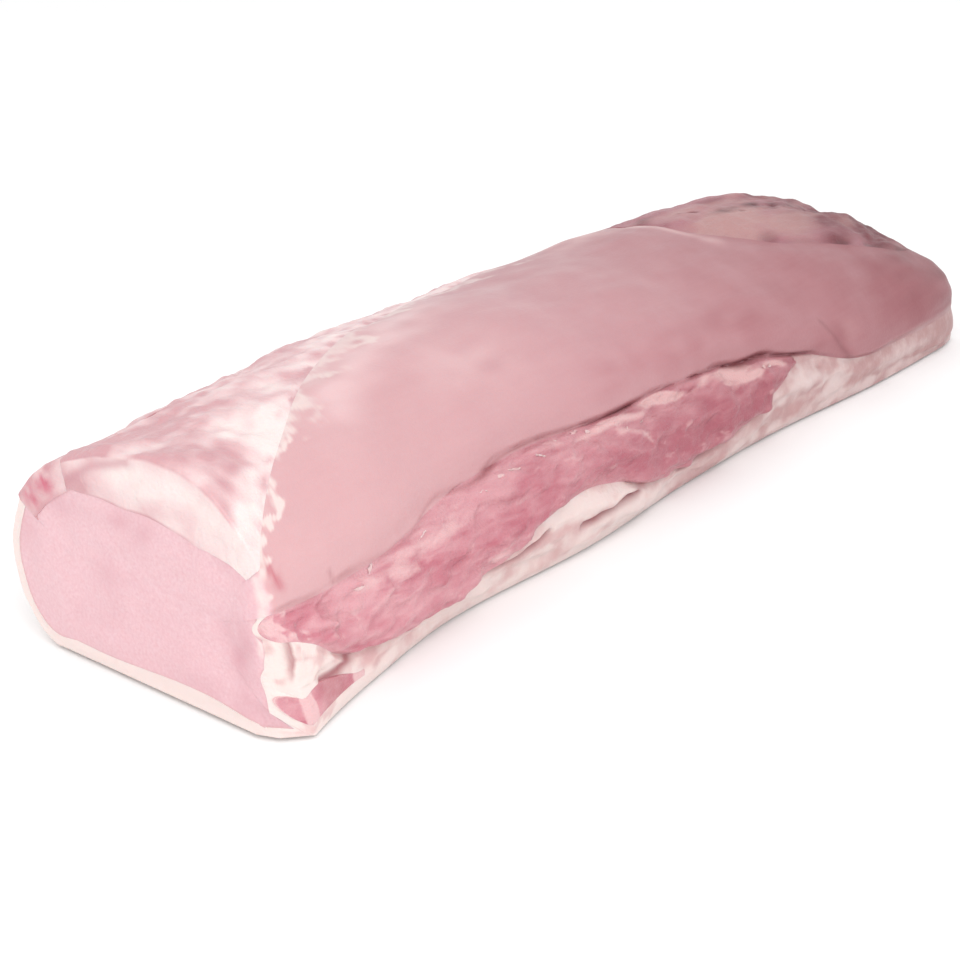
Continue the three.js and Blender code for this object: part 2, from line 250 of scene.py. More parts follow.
def clearance(x, s, z):
    """The underside bears on its middle and on four spots, and is clear elsewhere."""
    u, width = np.where(s < 1, 1, np.clip(s - 4, 0, 1)), tuck_y(x) - heel_y(x)
    near = np.hypot(np.maximum(np.maximum(BEARS[0] - x, x - BEARS[1]), 0),
                    np.maximum(np.abs(u - 0.5) - 0.1, 0) * width)
    for spot_x in SPOTS_X:
        for spot_u in SPOTS_ACROSS:
            near = np.minimum(near, np.hypot(x - spot_x, (u - spot_u) * width))
    return 1.5 * np.minimum(near / 7, 1) * np.maximum(1 - z / 12, 0)


def tissue(x, s, depth, detail=None):
    """Points in drawing units at a depth under the surface, towards a flat core line."""
    x, s, depth = np.broadcast_arrays(*(np.asarray(v, float) for v in (x, s, depth)))
    s = np.where(s < 0, s + 5, s)
    y, z = outline(x, s)
    p = np.stack([x, y, z], -1)
    r = relief(x, s, z, p)
    z = z + clearance(x, s, z)
    if detail:
        r = r + detail(x, s, p)
    dy = np.clip(y, side_y(x) + CORE_FRONT, back_y(x) - CORE_BACK) - y
    dz = CORE_UP * crest_z(x) - z
    size = np.hypot(dy, dz)
    # the knife's edge at the near end is rounded on the outside, and nothing reaches the core
    rim = 1.1 * (1 - np.sqrt(np.clip(1 - (1 - np.clip(x, 0, 1.4) / 1.4) ** 2, 0, 1)))
    d = np.minimum(depth - r + np.where(depth < 0.9, rim, 0), size * 0.93)
    return np.stack([x, y + dy / size * d,
                     np.maximum(z + dz / size * d, np.where(depth > 0, 0.5, 0))], -1)


trim = along((0, 0), (490, 0), (500, 0.01), (507, 0.035), (512, 0.08))


def place(p):
    """Drawing units to metres: the far end draws in, the near front corner curves back."""
    x, y, z = p[..., 0], p[..., 1], p[..., 2]
    keep, centre = 1 - trim(x), np.where(x < 250, 62, 78)
    bend = (12 * np.maximum(1 - y / 16, 0) ** 2 * np.maximum(1 - x / 80, 0)
            / np.where(y < 0, 1 - y / 8, 1))
    far = 12 * np.maximum((x - 440) / 72, 0) ** 2
    return np.stack([UNIT * (x + bend + far) - MIDDLE[0],
                     UNIT * (centre + (y - centre) * keep) - MIDDLE[1], UNIT * z * keep], -1) / 1000


# how thick the tissues are at a place on the surface
def chain_thick(x, s):
    deep = along((0, 7.5), (60, 12), (150, 18), (300, 17), (352, 5))(x)
    v = np.clip((s - lip(x)) / (crease(x) - lip(x)), 0, 1)
    return 1.8 + (deep - 1.8) * power(np.sin(math.pi * v), 0.6)


def top_thick(x, s):
    low, high = top_edge(x), shoulder_low(x)
    v = np.clip((s - low) / (high - low), 0, 1)
    fat = along((0, 20), (60, 15), (120, 10), (200, 6.5), (284, 2.6), (290, 2.6))(x) / 20
    cover = np.maximum(fat * (7 + 6 * np.minimum(v / 0.3, 1) - 2 * v + 11.5 * np.sin(
        math.pi * np.minimum(v / 0.75, 1))), 1.6)
    flap = 2 + (along((FLAP_START, 3), (440, 9), (512, 11))(x) - 2) * power(
        np.sin(math.pi * v), 0.5)
    return np.where(x > FLAP_START - JUST, flap, np.where(x > COVER_END + JUST, 0, cover))


def fat_thick(x, s):
    m = np.where(s > 4, s - 5, s)
    base = 5.5 + 2 * np.sin(x / 60 + 4 * m) ** 2
    under = np.where((m > lip(x)) & (x < CHAIN_END + JUST), chain_thick(x, m) + 2.76, 0)
    front = np.maximum(under, (7 + 6.5 * np.maximum(1 - x / 60, 0))
                       * (1 - 0.5 * np.minimum(m / np.maximum(crease(x), 0.2), 1) ** 2))
    low = shoulder_low(x)
    back = 4 + 1.5 * np.minimum((s - low) / (4 - low), 1)
    return np.where((m <= 0) & (m >= -1), base, np.where((m > 0) & (m < 2), front, back))


# stations along the loin, closer at its rounded ends and shared by all pieces, so that their
# borders agree; where a layer ends there are two, one on each side of its edge
STEPS = [(1.5, CORNER_END, 27), (CORNER_END, COVER_END, 138), (COVER_END, CHAIN_END, 40),
         (CHAIN_END, FLAP_START, 5), (FLAP_START, 505, 85)]
STATIONS = np.concatenate(
    [[0, 0.12, 0.45, 0.9]] + [np.linspace(a + (0.002 if a > 2 else 0), b, n + 1)
                              for a, b, n in STEPS] + [[507, 508.6, 510, 511.2, 511.8, LENGTH]])


def span(start, end, level=0):
    """The stations of a piece. A level sets its ends back from the cut faces of the layers."""
    x = STATIONS[(STATIONS >= start - 1e-3) & (STATIONS <= end + 1e-3)].copy()
    if start == FLAP_START:
        x = x[1:]
    x += level * LEVEL * (np.maximum(1 - x / 1.5, 0) - np.maximum((x - 510) / 2, 0))
    return x


def rows(x, low, high, count):
    """count even positions round the section between two landmark curves."""
    low, high = low(x)[:, None], high(x)[:, None]
    return low + (high - low) * np.linspace(0, 1, count)[None, :]


def quad_mesh(name, points, quads):
    mesh = bpy.data.meshes.new(name)
    mesh.from_pydata(place(points).tolist(), [],
                     np.concatenate([q.reshape(-1, 4) for q in quads]).tolist())
    return mesh


def put(name, data):
    """A new object in the scene."""
    made = bpy.data.objects.new(name, data)
    bpy.context.scene.collection.objects.link(made)
    return made


def solid(name, x, s, depth, inner=None, detail=None, paint=None, cap=8):
    """A closed piece over the stations x. With an inner depth it is a layer, otherwise the
    full section. Its ends are closed by rows of points that follow the outline inwards and
    are a little uneven. paint gives each point its tissue, for the material, from x, the
    arc, s, the end it is on (-1 near, 1 far, else 0) and the point."""
    n, m = s.shape
    xs = np.broadcast_to(x[:, None], s.shape)
    parts = [(tissue(xs, s, depth, detail), xs, s, 0)]
    ids = np.arange(n * m).reshape(n, m)
    if inner is not None:
        parts.append((tissue(xs, s, inner), xs, s, 0))
        ids = np.concatenate([ids, (n * m + ids)[:, ::-1]], 1)
    wrap = np.concatenate([ids, ids[:, :1]], 1)
    quads = [np.stack([wrap[:-1, :-1], wrap[1:, :-1], wrap[1:, 1:], wrap[:-1, 1:]], -1)]
    total = sum(p[0].size // 3 for p in parts)
    for end, side in ((0, -1), (n - 1, 1)):
        edge = [ids[end, :m]]
        start = tissue(x[end], s[end], depth[end], detail)
        if inner is None:                       # both sides meet on the core line
            low, high = side_y(x[end]) + CORE_FRONT, back_y(x[end]) - CORE_BACK
            line = np.round(np.clip((outline(x[end], s[end] % 5)[0] - low) / (high - low), 0, 1)
                            * 5) / 5
            core = np.stack([np.full(m, x[end]), low + line * (high - low),
                             np.full(m, CORE_UP * crest_z(x[end]))], -1)
        else:
            core = tissue(x[end], s[end], inner[end])
        swell = 1 if side < 0 else 2.5          # the far end is less even than the knife's cut
        room = np.minimum(np.linalg.norm(core - start, axis=1) / 12, 1)
        for t in np.linspace(0, 1, cap + 1)[1:None if inner is None else -1]:
            p = start + (core - start) * t
            out = (0.45 * cloud(p, 34, 81) + 0.2 * cloud(p, 11, 82)) * swell * room
            p[:, 0] = x[end] + side * out * (1 - (1 - t) ** 6 if inner is None else
                                             min(1, 2.5 * t, 2.5 * (1 - t)))
            parts.append((p, np.full(m, x[end]), s[end], side))
            edge.append(total + np.arange(m))
            total += m
        if inner is not None:
            edge.append(ids[end, m:][::-1])
        edge = np.stack(edge)
        if inner is None:
            edge = np.concatenate([edge, edge[:, :1]], 1)
        face = np.stack([edge[:-1, :-1], edge[:-1, 1:], edge[1:, 1:], edge[1:, :-1]], -1)
        quads.append(face if side < 0 else face[..., ::-1])
    points = np.concatenate([p[0].reshape(-1, 3) for p in parts])
    mesh = quad_mesh(name, points, quads)
    px, ps, end = (np.concatenate([np.broadcast_to(p[k], p[0].shape[:-1]).ravel() for p in parts])
                   for k in (1, 2, 3))
    ps = np.where(ps < 0, ps + 5, ps)
    for key, value in paint(px, arc(px, ps), ps, end, points).items():
        mesh.attributes.new(key, "FLOAT", "POINT").data.foreach_set(
            "value", np.clip(value, 0, 1).astype(np.float32))
    shape = bmesh.new()
    shape.from_mesh(mesh)
    bmesh.ops.remove_doubles(shape, verts=shape.verts, dist=2e-7)
    bmesh.ops.dissolve_degenerate(shape, edges=shape.edges, dist=1e-7)
    shape.to_mesh(mesh)
    shape.free()
    mesh.polygons.foreach_set("use_smooth", np.ones(len(mesh.polygons), bool))
    mesh.set_sharp_from_angle(angle=math.radians(50))
    return put(name, mesh)


def node(tree, kind, inputs, out=0, stops=(), **settings):
    """Adds a node with its settings, sets or links its inputs, and gives one output. stops
    are the (value, hex) pairs of a colour ramp. A shader node goes by the rest of its type."""
    made = tree.nodes.new(kind if "Node" in kind else "ShaderNode" + kind)
    while stops and len(made.color_ramp.elements) < len(stops):
        made.color_ramp.elements.new(0.5)
    for k, (where, code) in enumerate(stops):
        made.color_ramp.elements[k].position = where
        made.color_ramp.elements[k].color = rgb(code)
    for key, value in settings.items():
        setattr(made, key, value)
    for key, value in inputs.items():
        if isinstance(value, bpy.types.NodeSocket):
            tree.links.new(value, made.inputs[key])
        else:
            made.inputs[key].default_value = value
    return made.outputs[out]


def rgb(code):
    """sRGB hex to linear."""
    parts = [int(code[k:k + 2], 16) / 255 for k in (0, 2, 4)]
    return [v / 12.92 if v <= 0.04045 else ((v + 0.055) / 1.055) ** 2.4 for v in parts] + [1]


def material(name, *masks):
    """A new material and its tree, object coordinates and tissue masks."""
    made = bpy.data.materials.new(name)
    made.use_nodes = True
    tree = made.node_tree
    tree.nodes.clear()
    return made, tree, node(tree, "TexCoord", {}, out="Object"), {
        k: node(tree, "Attribute", {}, out="Fac", attribute_name=k) for k in masks}


def along_loin(tree, spot):
    """0 at the near end of the loin to 1 at the far end, each 0.239 m from the origin. The ramps
    read
    along it darken the far end: partly the meat's own darker far end, partly painted shade of the
    light from the near left falling off.
    """
    x = node(tree, "SeparateXYZ", {0: spot})
    return node(tree, "MapRange", {0: x, 1: -0.239, 2: 0.239})


def wet(tree, colour, height, rough, depth=0.0005, coat=0.15, soft=0.12):
    """The moist surface of raw meat: soft light inside it and a thin film on it."""
    normal = node(tree, "Bump", {"Height": height, "Strength": 0.5, "Distance": depth})
    shader = node(tree, "BsdfPrincipled", {
        "Base Color": colour, "Normal": normal, "Roughness": rough, "IOR": 1.4,
        "Subsurface Weight": soft, "Subsurface Radius": (1.0, 0.4, 0.3),
        "Subsurface Scale": 0.002, "Coat Weight": coat, "Coat Roughness": 0.25})
    tree.links.new(shader, tree.nodes.new("ShaderNodeOutputMaterial").inputs["Surface"])


def silverskin_lean():
    """Lean under silverskin: the smooth skin dims the red and shows long faint fibres, and painted
    highlight lightens it along some edges; the cut face has the fine grain of fibres cut across."""
    made, tree, at, masks = material("raw pork loin under silverskin, knife-cut end",
                                         "pale", "red", "light", "dark", "cut")
    broad = node(tree, "TexNoise", {"Vector": at, "Scale": 55.0, "Detail": 4.0})
    drawn = node(tree, "Mapping", {"Vector": at, "Scale": (0.1, 1, 1)})
    fibre = node(tree, "TexNoise", {"Vector": drawn, "Scale": 500.0, "Detail": 3.0})
    grain = node(tree, "TexNoise", {"Vector": at, "Scale": 900.0, "Detail": 3.0})
    where = along_loin(tree, at)
    where = node(tree, "Math", {0: broad, 1: 0.12, 2: where}, operation="MULTIPLY_ADD")
    where = node(tree, "Math", {0: where, 1: 0.06}, operation="SUBTRACT")
    skin, light, red, fat, dark = (
        node(tree, "ValToRGB", {0: where}, stops=stops)
        for stops in (EYE_SURFACE, EYE_PALE_AND_HIGHLIGHT, EYE_RED, FAT_SURFACE, SHADE_AND_DARK_LINES))
    # the light mask: paler skin, and painted highlight along some edges
    pale_fibres_and_highlight = node(tree, "MapRange", {0: fibre, 1: 0.35, 2: 0.75, 3: 0.0, 4: 0.04})
    pale_fibres_and_highlight = node(tree, "Math", {0: pale_fibres_and_highlight, 1: masks["light"]}, operation="ADD")
    face = node(tree, "ValToRGB", {0: grain}, stops=EYE_FACE)
    face = node(tree, "Mix", {0: masks["red"], 6: face, 7: rgb("cf9aa3")}, 2, data_type="RGBA")
    torn = node(tree, "Math", {0: broad, 1: 0.5, 2: masks["pale"]}, operation="MULTIPLY_ADD")
    torn = node(tree, "MapRange", {0: torn, 1: 0.42, 2: 1.05, 3: 0.0, 4: 0.85},
                interpolation_type="SMOOTHSTEP")
    # the dark mask is painted shade in the split along the crease, with two short dark lines
    for share, over in ((pale_fibres_and_highlight, light), (masks["red"], red), (masks["cut"], face), (torn, fat),
                        (masks["dark"], dark)):
        skin = node(tree, "Mix", {0: share, 6: skin, 7: over}, 2, data_type="RGBA")
    height = node(tree, "Math", {0: fibre, 1: 0.15, 2: grain}, operation="MULTIPLY_ADD")
    rough = node(tree, "MapRange", {0: broad, 1: 0.3, 2: 0.7, 3: 0.36, 4: 0.5})
    wet(tree, skin, height, rough, depth=0.0003)
    return made


# Ramps from the near end (0) to the far end (1). Their darkening towards the far end is partly the
# meat's own darker far end and partly painted shade, where less light from the near left falls.
EYE_SURFACE = [(0.0, "d3a5a8"), (0.42, "bc8b90"), (1.0, "87424a")]
# Paler skin, and painted highlight along some edges.
EYE_PALE_AND_HIGHLIGHT = [(0.0, "e6c4c6"), (1.0, "c69d9c")]
EYE_RED = [(0.0, "c27780"), (1.0, "74353c")]
EYE_FACE = [(0.2, "dbadb4"), (0.8, "e5c1c6")]
FAT_SURFACE = [(0.0, "e8d7d2"), (1.0, "c2a8a7")]
# Painted shade in the split along the crease, in the gaps of the fat and under the lip at the near
# corner, and a few dark lines.
SHADE_AND_DARK_LINES = [(0.0, "a86c70"), (0.5, "8a4f54"), (1.0, "5c3235")]


def eye_paint(x, a, s, end, p):
    """bare is the skin that shows, and gap its part on the back, behind the cover fat."""
    top, low, face = a - arc(x, top_edge(x)), a - arc(x, crease(x)), end < 0
    y, z = p[:, 1], p[:, 2]
    gap = (x > COVER_END + JUST) & (x < FLAP_START - JUST) & (a < arc(x, shoulder_low(x)) + 0.05)
    bare = (low > -0.05) & ((top < 0.05) | gap) & (end == 0)
    wander = 4 * cloud(p, 15, 71) + 2 * cloud(p, 6, 72)
    pale = bump((top + wander) / (4 + 4 * step(x, 10, 80))) * (x < 300) * (0.9 - 0.28 * step(
        x, 10, 80))
    pale = np.max([pale, 0.35 * spots(x, a, (62, 112, 12, 6), (88, 122, 14, 7), (124, 139, 10, 6),
                                      (15, 81, 6, 6)),
                   0.45 * bump(low / 6) * step(x, 400, 440)], 0) * bare
    seam = streak(y, z, 2.4, (12.5, 60), (9.5, 52), (10.5, 42), (11.5, 32))
    pale = np.maximum(pale, face * 0.9 * seam * np.clip(0.8 + 0.3 * cloud(p, 9, 68), 0, 1))
    fray = cloud(p, 8, 63, 2)
    # light: paler skin, and painted highlight in a band along the edge by the flap and in a small
    # spot at the far end
    light = bare * np.max([
        0.6 * bump((top + 14) / 13) * step(x, 50, 90) * step(-x, -215, -170),
        0.35 * spots(x, a, (156, 104, 32, 18)), 0.15 * spots(x, a, (398, 39, 8, 8)),
        0.9 * bump((top + 8) / 12) * step(x, 285, 335) * step(-x, -385, -358),
        0.9 * gap * step(top + 2 * fray, -2, 3) * step(6 * fray - x, -COVER_END - 26,
                                                       -COVER_END + 4)], 0)
    red = bare * np.max([0.4 * spots(x, a, (300, 66, 60, 12), (232, 70, 30, 8)),
                         0.6 * spots(x, a, (486, 56, 34, 32)),
                         0.9 * spots(x, a, (512, 52, 24, 44), (504, 80, 16, 20)),
                         0.6 * spots(x, a, (388, 37, 8, 7), (374, 38, 9, 3))], 0)
    red = np.maximum(red, 0.85 * (end == 0) * streak(
        x, a, 2.0 + 0.5 * cloud(p, 5, 65), (1, 74), (3.5, 66), (5, 57)))
    red = np.maximum(red, face * (0.5 * spots(y, z, (21, 22, 6, 18), (85, 62, 26, 5))
                                  + 0.4 * step(-z, -36, -4) * step(-y, -80, -20)
                                  + 0.16 * cloud(p, 30, 70)))
    # dark: painted shade in the split along the crease, and two short dark lines near it
    dark = np.max([crease_split(x, a, p), 0.4 * streak(x, a, 1.0, (31, 53), (33, 48)),
                   0.35 * streak(x, a, 1.3, (379, 49), (388, 35), (403, 19))], 0)
    return {"pale": pale, "red": red * np.clip(0.8 + 0.35 * cloud(p, 12, 73, 2), 0, 1.3),
            "light": light * np.clip(0.85 + 0.3 * cloud(p, 14, 67, 1.5), 0, 1.2),
            "dark": dark * bare, "cut": face * 1.0}


eye_x = span(0, LENGTH, 2)
column_x = eye_x[:, None]
stretches = [(crease, top_edge, 132, lambda x, s: 0 * s), (top_edge, shoulder_low, 52, top_thick),
             (shoulder_low, lambda x: tuck(x) + 5, 16, fat_thick),
             (lambda x: tuck(x) + 5, lambda x: heel(x) + 5, 14, fat_thick),
             (heel, crease, 22, fat_thick)]
eye_s = [rows(eye_x, low, high, count) for low, high, count, _ in stretches]
eye_depth = [np.maximum(thick(column_x, s) - OVERLAP, 0)
             for s, (_, _, _, thick) in zip(eye_s, stretches)]
eye = solid("loin_eye", eye_x, np.concatenate(eye_s, 1), np.concatenate(eye_depth, 1),
            paint=eye_paint, cap=24)
eye.data.materials.append(silverskin_lean())
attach(eye, "root")
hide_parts("eye_muscle")


# ---- the side muscle -------------------------------------------------
# The chain: a redder, looser muscle along the front, torn clean of its skin, in a pocket
# between the crease and the lip of fat. Threads of pale tissue are left on it.
# Near end to far end, darker far: partly the meat's own colour, partly painted shade of the light
# falling off.
CHAIN_RED = [(0.0, "d79fa6"), (1.0, "9a565e")]
CHAIN_DEEP = [(0.0, "c27280"), (1.0, "79333d")]
CHAIN_PALE = [(0.0, "e0b6b8"), (1.0, "c09290")]


def chain_detail(x, s, p):
    a = arc(x, s)
    inside = step(a - arc(x, lip(x)), 0, 3) * step(arc(x, crease(x)) - a, 0, 3)
    lumps = (0.9 * cloud(p, 15, 21, 2.2) + 0.5 * cloud(p, 5.5, 22, 2.2) + 0.25 * cloud(p, 3, 23, 2))
    cuts = np.max([streak(x, a, 1.6, *line) for line in (
        [(190, 50), (202, 32)], [(60, 38), (84, 32), (110, 30)], [(118, 45), (150, 40)],
        [(20, 40), (34, 34)])], 0)
    ridge = bump((a - arc(x, crease(x)) + 4.5) / 2.5) * step(x, 120, 170)
    return inside * (lumps - 1.1 * cuts + 0.8 * ridge)


def chain_paint(x, a, s, end, p):
    below, above = arc(x, crease(x)) - a, a - arc(x, lip(x))
    inside = step(above, -1, 3) * step(below, -1, 2) * (end == 0)
    deep = np.clip(0.2 + 0.28 * cloud(p, 16, 77, 2.5) + 0.2 * cloud(p, 6, 78, 3), 0, 0.7)
    # painted shade: darker red along the lower third of the side muscle
    painted_low_shade = (0.35 * step(x, 70, 95) + 0.6 * step(x, 175, 205)) * step(-x, -345, -322) * bump(
        (above / np.maximum(above + below, 1) - 0.34) / 0.26)
    deep = np.max([deep, painted_low_shade, 0.9 * spots(
        x, a, (20, 43, 6, 4), (38, 20, 16, 4), (92, 33, 18, 6), (114, 33, 9, 6), (134, 35, 15, 6),
        (150, 26, 12, 5), (190, 38, 18, 6), (208, 35, 10, 6), (238, 32, 12, 6), (252, 33, 16, 7),
        (272, 38, 12, 6), (284, 34, 14, 7), (318, 34, 12, 4))], 0)
    # a pale band just under the crease: partly pale tissue, partly painted highlight
    ridge = bump((below - 4.5 + 1.5 * cloud(p, 14, 69, 2)) / 2.8) * (
        0.3 * step(x, 40, 60) + 0.6 * step(x, 150, 215) + 0.5 * bump((x - 256) / 30)) * step(
            -x, -352, -330)
    ridge = np.max([ridge, 0.5 * bump((below - 8) / 9) * step(x, 30, 50) * step(-x, -125, -95),
                    0.5 * streak(x, a, 2, (206, 50), (222, 42), (226, 36)),
                    0.6 * spots(x, a, (72, 45, 5, 2.5), (37, 47, 4, 2.5), (46, 48, 3, 2),
                                (118, 27, 10, 4), (344, 34, 9, 4))], 0)
    torn = step(cloud(p, 7, 75, 2.4) + 0.5 * cloud(p, 4, 76, 2), 0.9, 2.6)
    wisps = step(np.abs(cloud(p, 12, 79, 4)), 0.22, 0.0) * step(cloud(p, 24, 80), -0.4, 0.8)
    pale = np.maximum(ridge * np.clip(1 + 0.4 * cloud(p, 7, 74, 3), 0.3, 1.2), 0.45 * torn)
    near = 0.75 * step(5 * cloud(p, 5, 66) - x, -12, 4) * (1 - spots(x, a, (16, 43, 7, 6)))
    near = near * np.where(end < 0, 1, np.clip(0.7 + 0.5 * cloud(p, 4, 81), 0, 1))
    # dark: painted shade in the split along the crease
    return {"deep": deep * inside, "pale": np.maximum(np.maximum(pale, 0.4 * wisps) * inside, near),
            "dark": crease_split(x, a, p) * (end == 0)}


def torn_red():
    """Red muscle torn along its bundles of 2 to 3 mm, wet, with painted shade making it darker
    between them.
    """
    made, tree, at, masks = material("raw side muscle, torn along its bundles",
                                         "pale", "deep", "dark")
    where = along_loin(tree, at)
    drawn = node(tree, "Mapping", {"Vector": at, "Scale": (0.3, 1, 1)})
    bundle = node(tree, "TexNoise", {"Vector": drawn, "Scale": 380.0, "Detail": 4.0,
                                     "Distortion": 0.4})
    grain = node(tree, "TexNoise", {"Vector": at, "Scale": 1100.0, "Detail": 2.0})
    red, deep, pale, dark = (node(tree, "ValToRGB", {0: where}, stops=stops)
                             for stops in (CHAIN_RED, CHAIN_DEEP, CHAIN_PALE, SHADE_AND_DARK_LINES))
    # painted shade: darker where the bundles dip, over the deep mask's own deep red; the dark mask
    # is painted shade in the split and under the corner's lip
    depth = node(tree, "MapRange", {0: bundle, 1: 0.3, 2: 0.7, 3: 0.35, 4: -0.25})
    depth = node(tree, "Math", {0: depth, 1: masks["deep"]}, operation="ADD", use_clamp=True)
    torn = node(tree, "Math", {0: bundle, 1: 0.6, 2: masks["pale"]}, operation="MULTIPLY_ADD")
    torn = node(tree, "MapRange", {0: torn, 1: 0.5, 2: 1.15, 3: 0.0, 4: 1.0},
                interpolation_type="SMOOTHSTEP")
    for share, over in ((depth, deep), (torn, pale), (masks["dark"], dark)):
        red = node(tree, "Mix", {0: share, 6: red, 7: over}, 2, data_type="RGBA")
    height = node(tree, "Math", {0: bundle, 1: 1.5, 2: grain}, operation="MULTIPLY_ADD")
    rough = node(tree, "MapRange", {0: bundle, 1: 0.3, 2: 0.7, 3: 0.34, 4: 0.5})
    wet(tree, red, height, rough, depth=0.0009, coat=0.2)
    return made


def layer(name, start, end, low, high, count, thick, mat, detail, paint, stands_for, cap=8):
    x = span(start, end)
    s = rows(x, low, high, count)
    piece = solid(name, x, s, np.zeros_like(s), thick(x[:, None], s) + OVERLAP, detail, paint, cap)
    piece.data.materials.append(mat)
    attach(piece, "root")
    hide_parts(stands_for)


chain_red = torn_red()
layer("side_muscle", 0, CHAIN_END, lip, crease, 62, chain_thick, chain_red, chain_detail,
      chain_paint, "chain_muscle")


# ---- the fat sheet ---------------------------------------------------
# Back fat trimmed to a thin sheet, under the eye, up its plain side, and up the front to
# the lip. It is pale, waxy and a little pink, with folds and gaps along the base.
# Near end to far end, darker far: partly the meat's own colour, partly painted shade of the light
# falling off.
FAT_PINK = [(0.0, "d3a8a8"), (1.0, "9f7574")]
# Gaps along the base, carved in and painted dark: the darkness is painted shade.
GAPS = ((2.2, (14, 17), (26, 16), (48, 20)), (1.8, (112, 17), (130, 18), (152, 23)),
        (1.6, (176, 17), (196, 20), (214, 19)), (1.5, (250, 14), (280, 17), (300, 22)))


def corner_low(x):
    return along((0, 5), (10, 8), (24, 9), (42, 7.5), (65, 3), (512, 1))(x) / SIDE_Z


def corner_high(x):
    return along((0, 16), (10, 17.5), (24, 15), (42, 9.8), (65, 8), (512, 3))(x) / SIDE_Z


def corner_thick(x, s):
    v = np.clip((s - corner_low(x)) / (corner_high(x) - corner_low(x)), 0, 1)
    return 1.4 + (8 * (1 - np.minimum(x / CORNER_END, 1)) + 0.6) * power(np.sin(math.pi * v), 0.6)


def fat_detail(x, s, p):
    a, front = arc(x, s), s < 2
    low = front * step(arc(x, lip(x)) - a, 0, 5) * step(s, 0.1, 0.3)
    gaps = np.max([streak(x, a, *g) for g in GAPS], 0)
    back = step(s, 3.2, 3.5) * (s < 4)
    return (low * (0.8 * cloud(p, 17, 31, 2.5) + 0.35 * cloud(p, 6, 32, 2) - 3.0 * gaps)
            + back * (0.6 * cloud(p, 24, 33, 2) + 0.25 * cloud(p, 8, 34))) * np.where(
        (x < 50) & (a < 20), 0.3, 1)


def fat_paint(x, a, s, end, p):
    y, z, front = p[:, 1], p[:, 2], s < 2
    # painted shade in the gaps along the base
    gaps = np.max([streak(x, a, *g) for g in GAPS], 0) * front * (end == 0)
    high = np.clip(a / np.maximum(arc(x, lip(x)), 5), 0, 1)
    far = step(x, 385, 440)
    lean = np.clip(0.08 + 0.3 * high + 0.24 * cloud(p, 22, 35, 2.2) + 0.24 * cloud(p, 8, 36, 2)
                   + 0.45 * step(x, 215, 250) * (1 - far) + far * step(high, 0.3, 1)
                   + 0.7 * spots(x, a, (60, 9, 12, 3), (146, 21, 10, 3)), 0, 1)
    lean = np.maximum(lean * 0.8, 0.8 * front * spots(
        x, a, (46, 12, 9, 3), (58, 17, 12, 3), (372, 16, 8, 3), (378, 26, 10, 5), (408, 12, 12, 6),
        (500, 14, 18, 14)))
    near = 0.55 * step(-x, -26, -16) * front * step(cloud(p, 8, 37) + 0.5 * cloud(p, 4, 38), 0, 1.3)
    lean = np.maximum(lean * (x > 12), near)
    slit = (end < 0) * streak(y, z, 1.3, (4.5, 39), (4, 31), (3, 24))
    # whiter spots on the front of the fat, partly painted highlight along the top of the strip
    whiter_fat_and_highlight = front * spots(x, a, (16, 21, 6, 4), (98, 8, 16, 5), (150, 9, 12, 4), (172, 25, 24, 4),
                           (200, 18, 10, 3), (240, 10, 30, 4), (354, 26, 12, 6), (452, 12, 24, 5))
    # dark: painted shade in the gaps and the crease split, and a dark slit line on the cut face
    return {"lean": lean * (1 - 0.85 * whiter_fat_and_highlight), "dark": np.max(
        [gaps, 0.8 * slit, crease_split(x, a, p) * front * (end == 0)], 0)}


def back_fat():
    """Firm back fat: cream lobules of 5 mm with pink where a film of lean was left."""
    made, tree, at, masks = material("pork back fat, trimmed to a sheet", "lean", "dark")
    where = along_loin(tree, at)
    lobes = node(tree, "TexVoronoi", {"Vector": at, "Scale": 210.0, "Randomness": 1.0},
                 feature="SMOOTH_F1")
    patch = node(tree, "TexNoise", {"Vector": at, "Scale": 160.0, "Detail": 5.0})
    grain = node(tree, "TexNoise", {"Vector": at, "Scale": 700.0, "Detail": 3.0})
    fat, lean, dark = (node(tree, "ValToRGB", {0: where}, stops=stops)
                       for stops in (FAT_SURFACE, FAT_PINK, SHADE_AND_DARK_LINES))
    pink = node(tree, "Math", {0: patch, 1: 0.9, 2: masks["lean"]}, operation="MULTIPLY_ADD")
    pink = node(tree, "MapRange", {0: pink, 1: 0.5, 2: 1.3, 3: 0.0, 4: 0.9},
                interpolation_type="SMOOTHSTEP")
    # the dark mask is painted shade in the gaps and the split, with a slit line on the cut face
    for share, over in ((pink, lean), (masks["dark"], dark)):
        fat = node(tree, "Mix", {0: share, 6: fat, 7: over}, 2, data_type="RGBA")
    height = node(tree, "Math", {0: lobes, 1: 0.7, 2: grain}, operation="MULTIPLY_ADD")
    rough = node(tree, "MapRange", {0: patch, 1: 0.3, 2: 0.7, 3: 0.4, 4: 0.55})
    wet(tree, fat, height, rough, depth=0.0006, soft=0.15)
    return made


